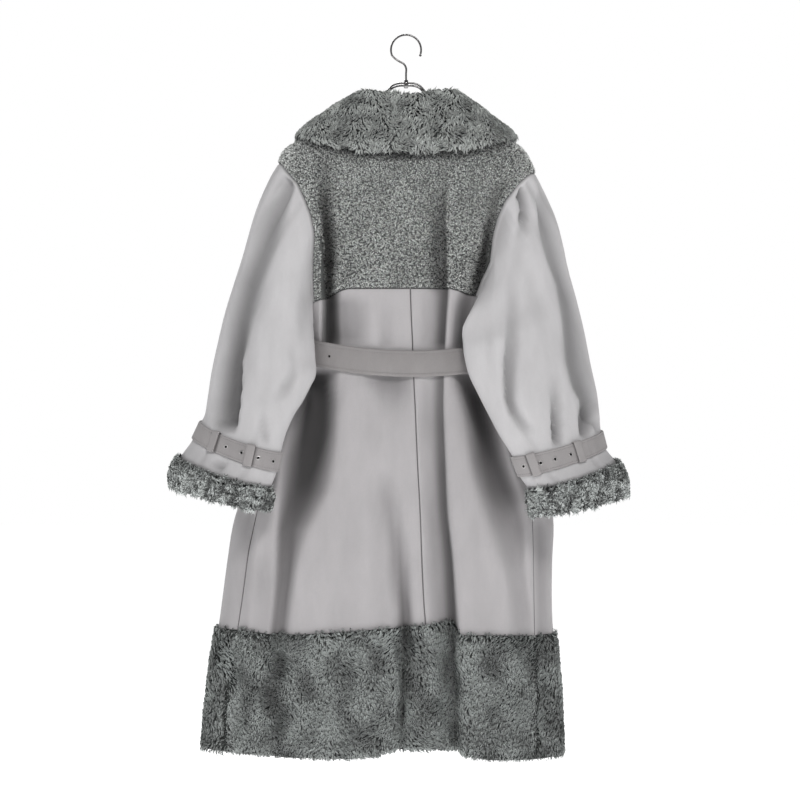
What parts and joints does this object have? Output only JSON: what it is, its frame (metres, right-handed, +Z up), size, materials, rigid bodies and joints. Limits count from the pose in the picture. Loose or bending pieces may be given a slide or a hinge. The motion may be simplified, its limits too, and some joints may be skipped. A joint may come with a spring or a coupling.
{
  "type": "faux shearling coat on a wire hanger",
  "caption": "Long belted wrap coat in pale suede with a curly fleece yoke and a long-pile fur collar, cuffs and hem, hanging on a dark wire hanger.",
  "frame": {"origin": "inside top of the hanger's hook, where a rail carries it", "axes": "+Z up, the coat's front faces -Y, the wearer's left is +X"},
  "size_m": [0.7993, 0.3236, 1.2604],
  "materials": {
    "suede": "matte suede",
    "belt_suede": "matte suede",
    "fleece": "curly pile",
    "fur": "long pile",
    "metal": "dark polished"
  },
  "bodies": {
    "root": {"back_panel_left": "suede", "back_panel_right": "suede", "front_panel_left": "suede", "front_panel_right": "suede", "sleeve_left": "suede", "sleeve_right": "suede", "belt": "belt_suede", "belt_keeper": "belt_suede", "cuff_strap_left": "belt_suede", "cuff_strap_right": "belt_suede", "strap_loop_left_1": "belt_suede", "strap_loop_left_2": "belt_suede", "strap_loop_right_1": "belt_suede", "strap_loop_right_2": "belt_suede", "yoke_back": "fleece", "yoke_front_left": "fleece", "yoke_front_right": "fleece", "collar": "fur", "cuff_fur_left": "fur", "cuff_fur_right": "fur", "hem_fur_back": "fur", "hem_fur_front_left": "fur", "hem_fur_front_right": "fur", "belt_buckle": "metal", "cuff_buckle_left": "metal", "cuff_buckle_right": "metal", "hook": "metal", "hook_tip": "metal", "hook_nut": "metal", "hanger_clip": "metal", "hanger_frame": "metal"}
  },
  "joints": []
}
